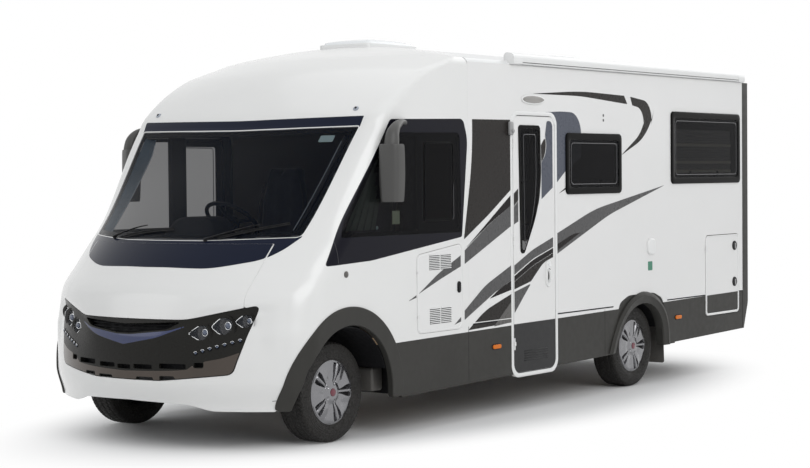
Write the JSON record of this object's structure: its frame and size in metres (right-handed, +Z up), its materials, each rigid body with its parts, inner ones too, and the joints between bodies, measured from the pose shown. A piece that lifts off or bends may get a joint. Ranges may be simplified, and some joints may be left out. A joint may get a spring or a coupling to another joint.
{
  "type": "motorhome",
  "caption": "Low-profile integrated motorhome with bowed front end, side entrance door, windows, awning, lockers, steered front wheels and rolling rear wheels.",
  "frame": {"origin": "on the ground under the middle of the vehicle", "axes": "+X forward, +Y to the vehicle's left, +Z up"},
  "size_m": [7.1, 2.636, 2.8849],
  "materials": {
    "body_white": "gloss",
    "panel_white": "satin",
    "band_dark": "gloss",
    "mask_dark": "gloss",
    "skirt_grey": "satin",
    "glass": "tinted",
    "acrylic": "dark tinted",
    "lamp": "clear",
    "tyre": "matt",
    "hubcap": "silver",
    "steel_black": "satin",
    "cast": "rough",
    "interior_pale": "matt",
    "floor_ply": "matt",
    "dash": "matt",
    "seat_fabric": "woven",
    "rubber": "matt",
    "mirror_grey": "satin"
  },
  "bodies": {
    "root": {"front_cap": "body_white", "windscreen": "glass", "cab_surrounds": "band_dark", "cab_windows": "glass", "nose_panel": "body_white", "bumper": "body_white", "grille_mask": "mask_dark", "headlamps": "lamp", "front_flares": "skirt_grey", "roof": "panel_white", "side_windows": "acrylic", "side_wall_left": "body_white", "side_wall_right": "body_white", "door_frame": "panel_white", "rear_corners": "skirt_grey", "rear_wall": "body_white", "rear_bumper": "skirt_grey", "skirts": "skirt_grey", "rear_flares": "skirt_grey", "front_axle": "steel_black", "chassis_rails": "steel_black", "rear_axle": "steel_black", "engine": "cast", "tanks": "steel_black", "front_wheel_houses": "steel_black", "rear_wheel_houses": "steel_black", "floor": "floor_ply", "entrance_step": "steel_black", "bulkhead": "steel_black", "dashboard": "dash", "steering_wheel": "dash", "seat_bases": "dash", "cab_seats": "seat_fabric", "gas_locker": "interior_pale", "garage": "interior_pale", "awning": "panel_white", "mirrors": "mirror_grey", "roof_lights": "panel_white", "mud_flaps": "rubber", "wipers": "rubber"},
    "steer_left": {"knuckle_left": "cast"},
    "steer_right": {"knuckle_right": "cast"},
    "entrance": {"entrance_door": "body_white", "door_window": "acrylic"},
    "gas_door": {"gas_locker_door": "body_white"},
    "rear_door_left": {"rear_locker_door_left": "body_white"},
    "rear_door_right": {"rear_locker_door_right": "body_white"},
    "lid": {"bonnet": "body_white"},
    "wheel_front_left": {"tyre_front_left": "tyre", "rim_front_left": "hubcap"},
    "wheel_front_right": {"tyre_front_right": "tyre", "rim_front_right": "hubcap"},
    "wheel_rear_left": {"tyre_rear_left": "tyre", "rim_rear_left": "hubcap"},
    "wheel_rear_right": {"tyre_rear_right": "tyre", "rim_rear_right": "hubcap"}
  },
  "joints": [
    {"name": "steer_left_turn", "type": "hinge", "parent": "root", "child": "steer_left", "pos_m": [2.57, 0.77, 0.345], "axis": [0, 0, 1], "range_deg": [-35, 35]},
    {"name": "steer_right_turn", "type": "hinge", "parent": "root", "child": "steer_right", "pos_m": [2.57, -0.77, 0.345], "axis": [0, 0, 1], "range_deg": [-35, 35]},
    {"name": "spin_front_left", "type": "hinge", "parent": "steer_left", "child": "wheel_front_left", "pos_m": [2.57, 0.905, 0.345], "axis": [0, 1, 0], "continuous": true},
    {"name": "spin_front_right", "type": "hinge", "parent": "steer_right", "child": "wheel_front_right", "pos_m": [2.57, -0.905, 0.345], "axis": [0, 1, 0], "continuous": true},
    {"name": "spin_rear_left", "type": "hinge", "parent": "root", "child": "wheel_rear_left", "pos_m": [-1.47, 0.98, 0.345], "axis": [0, 1, 0], "continuous": true},
    {"name": "spin_rear_right", "type": "hinge", "parent": "root", "child": "wheel_rear_right", "pos_m": [-1.47, -0.98, 0.345], "axis": [0, 1, 0], "continuous": true},
    {"name": "entrance_hinge", "type": "hinge", "parent": "root", "child": "entrance", "pos_m": [0.537, 1.177, 1.282], "axis": [0, 0, -1], "range_deg": [0, 100]},
    {"name": "gas_door_hinge", "type": "hinge", "parent": "root", "child": "gas_door", "pos_m": [1.798, 1.177, 1], "axis": [0, 0, -1], "range_deg": [0, 110]},
    {"name": "rear_door_left_hinge", "type": "hinge", "parent": "root", "child": "rear_door_left", "pos_m": [-2.657, 1.177, 0.9], "axis": [0, 0, -1], "range_deg": [0, 110]},
    {"name": "rear_door_right_hinge", "type": "hinge", "parent": "root", "child": "rear_door_right", "pos_m": [-2.657, -1.177, 0.9], "axis": [0, 0, 1], "range_deg": [0, 110]},
    {"name": "bonnet_hinge", "type": "hinge", "parent": "root", "child": "lid", "pos_m": [3.19877, 0, 1.373], "axis": [0, -1, 0], "range_deg": [0, 50]}
  ],
  "couplings": [
    {"joint": "steer_right_turn", "follows": "steer_left_turn", "ratio": 1}
  ]
}
